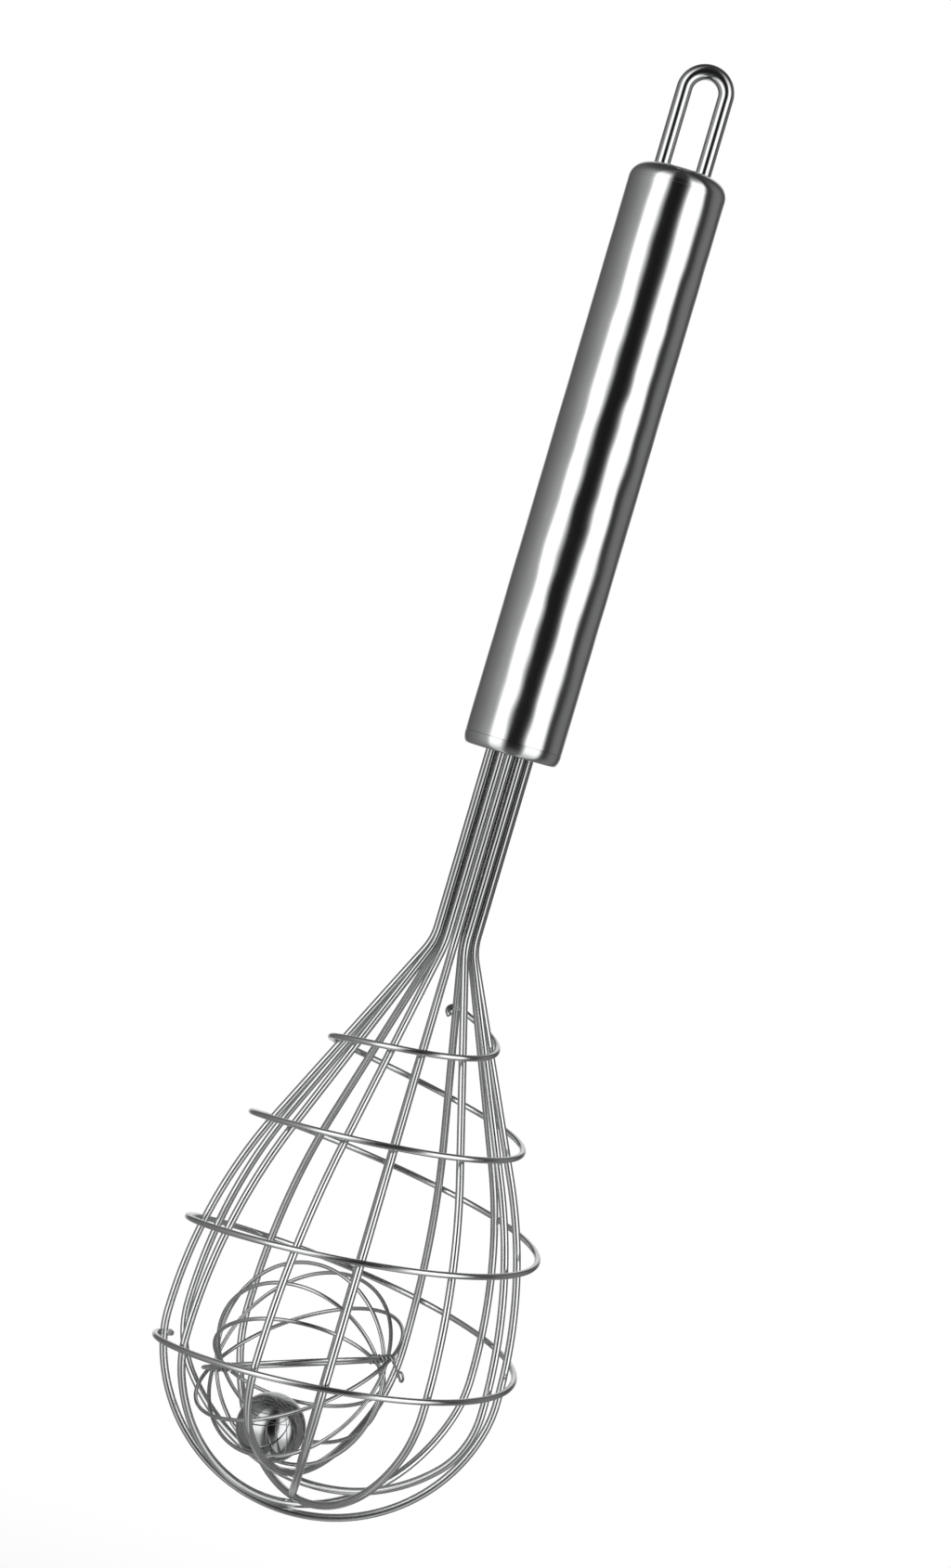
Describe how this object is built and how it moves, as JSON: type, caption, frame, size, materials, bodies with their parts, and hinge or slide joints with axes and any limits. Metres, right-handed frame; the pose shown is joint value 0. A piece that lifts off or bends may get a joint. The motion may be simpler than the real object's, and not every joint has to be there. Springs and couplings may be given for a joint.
{
  "type": "whisk",
  "caption": "Hand whisk with a tube handle and hanging loop, a wire balloon with a spiral wire round it, and a steel ball loose in a wire ball inside.",
  "frame": {"origin": "inner top of the hanging loop, where a hook carries the whisk", "axes": "+Z along the whisk from the balloon to the handle, +Y through the hanging loop away from the camera, +X to the right"},
  "size_m": [0.0727, 0.0718, 0.3],
  "materials": {
    "handle_steel": "mirror polished",
    "cap_steel": "polished",
    "loop_steel": "polished",
    "whisk_wire": "polished",
    "spiral_steel": "polished",
    "hoop_wire": "drawn and polished",
    "ball_steel": "mirror polished",
    "inner_steel": "turned, not polished",
    "sealing_resin": "cast"
  },
  "bodies": {
    "whisk": {"handle_tube": "handle_steel", "top_cap": "handle_steel", "bottom_cap": "cap_steel", "hanging_loop": "loop_steel", "loop_anchor": "inner_steel", "wire_sleeve": "inner_steel", "wire_core": "inner_steel", "sealing_plug": "sealing_resin", "whisk_loop_1": "whisk_wire", "whisk_loop_2": "whisk_wire", "whisk_loop_3": "whisk_wire", "whisk_loop_4": "whisk_wire", "whisk_loop_5": "whisk_wire", "whisk_loop_6": "whisk_wire", "spiral_wire": "spiral_steel"},
    "wire_ball": {"ball_hoop_1": "hoop_wire", "ball_hoop_2": "hoop_wire", "ball_hoop_3": "hoop_wire", "ball_hoop_4": "hoop_wire", "ball_hoop_5": "hoop_wire", "ball_hoop_6": "hoop_wire"},
    "steel_ball": {"steel_ball": "ball_steel"}
  },
  "joints": [
    {"name": "wire_ball_travel", "type": "slide", "parent": "whisk", "child": "wire_ball", "axis": [0.1386, 0.0213, 0.9901], "range_m": [0, 0.043]},
    {"name": "steel_ball_travel", "type": "slide", "parent": "wire_ball", "child": "steel_ball", "axis": [0.1286, 0.2508, 0.9595], "range_m": [0, 0.0275]}
  ]
}
